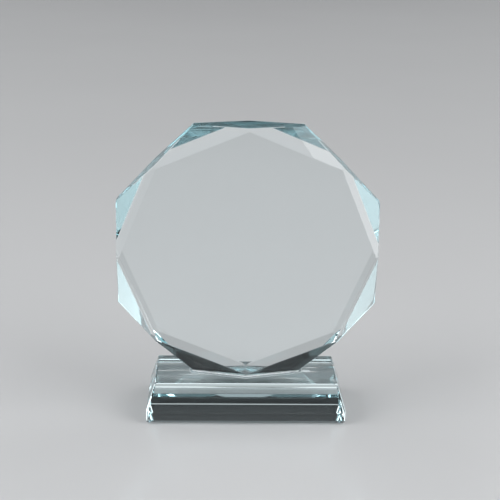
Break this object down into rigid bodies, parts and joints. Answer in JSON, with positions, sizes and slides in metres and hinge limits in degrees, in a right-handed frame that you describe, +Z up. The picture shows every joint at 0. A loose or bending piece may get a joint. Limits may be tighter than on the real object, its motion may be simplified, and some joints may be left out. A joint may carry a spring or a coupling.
{
  "type": "crystal award",
  "caption": "Octagonal crystal plate with corner facets, bonded upright with clear adhesive on a bevelled crystal base block; a blank face for engraving.",
  "frame": {"origin": "middle of the base's underside, on the surface that the award stands on", "axes": "+Z up, the award's face looks along -Y, +X to the viewer's right"},
  "size_m": [0.15, 0.05, 0.1742],
  "materials": {
    "crystal_plate": "polished optical crystal, faint blue-green tint at the edges",
    "adhesive": "clear cured adhesive, bright at its edge, a few small bubbles",
    "crystal_block": "polished optical crystal, blue-green tint through its length"
  },
  "bodies": {
    "root": {"octagon_plate": "crystal_plate", "adhesive_film": "adhesive", "crystal_base": "crystal_block"}
  },
  "joints": []
}
